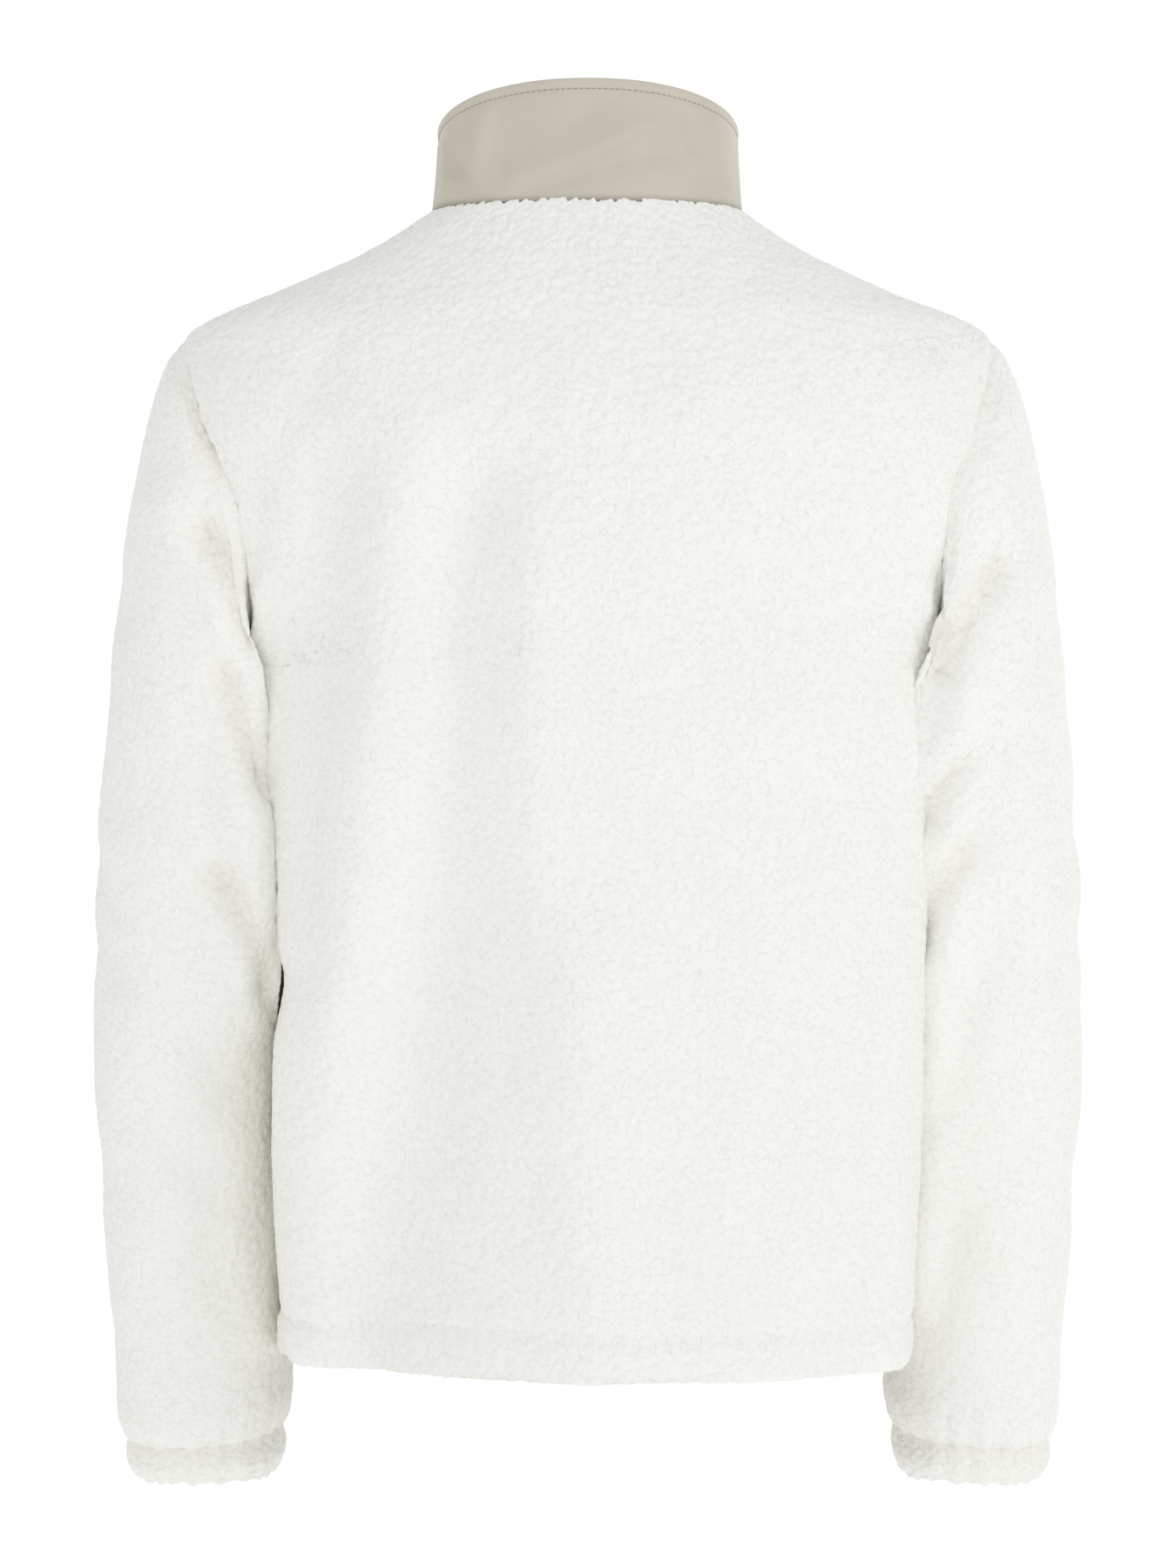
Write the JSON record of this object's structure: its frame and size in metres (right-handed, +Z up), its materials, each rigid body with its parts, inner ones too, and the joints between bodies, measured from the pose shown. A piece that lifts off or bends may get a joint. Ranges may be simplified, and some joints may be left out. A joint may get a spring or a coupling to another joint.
{
  "type": "sherpa jacket",
  "caption": "Zip-front sherpa fleece jacket with a smooth stand collar, long set-in sleeves, elastic cuffs and a straight turned-up hem, in its worn hollow form.",
  "frame": {"origin": "middle of the neck opening, level with the points where the shoulder seams meet the collar", "axes": "+Z up, -Y towards the front of the jacket (its zip), +X towards the wearer's left sleeve"},
  "size_m": [0.572, 0.2759, 0.8039],
  "materials": {
    "sherpa": "off-white curly sherpa pile",
    "woven": "smooth stone-coloured woven nylon",
    "zip_tape": "woven zip tape",
    "zip_teeth": "matte moulded plastic",
    "zip_metal": "satin painted zinc"
  },
  "bodies": {
    "jacket": {"back_panel": "sherpa", "front_left": "sherpa", "front_right": "sherpa", "sleeve_left": "sherpa", "sleeve_right": "sherpa", "cuff_left": "sherpa", "cuff_right": "sherpa", "collar": "woven", "zip_tape_left": "zip_tape", "zip_tape_right": "zip_tape", "zip_chain": "zip_teeth", "zip_box": "zip_teeth", "zip_slider": "zip_metal"},
    "pull_tab": {"zip_pull": "zip_metal"}
  },
  "joints": [
    {"name": "pull_hinge", "type": "hinge", "parent": "jacket", "child": "pull_tab", "pos_m": [0, -0.09288, 0.00516], "axis": [-1, 0, 0], "range_deg": [0, 170]}
  ]
}
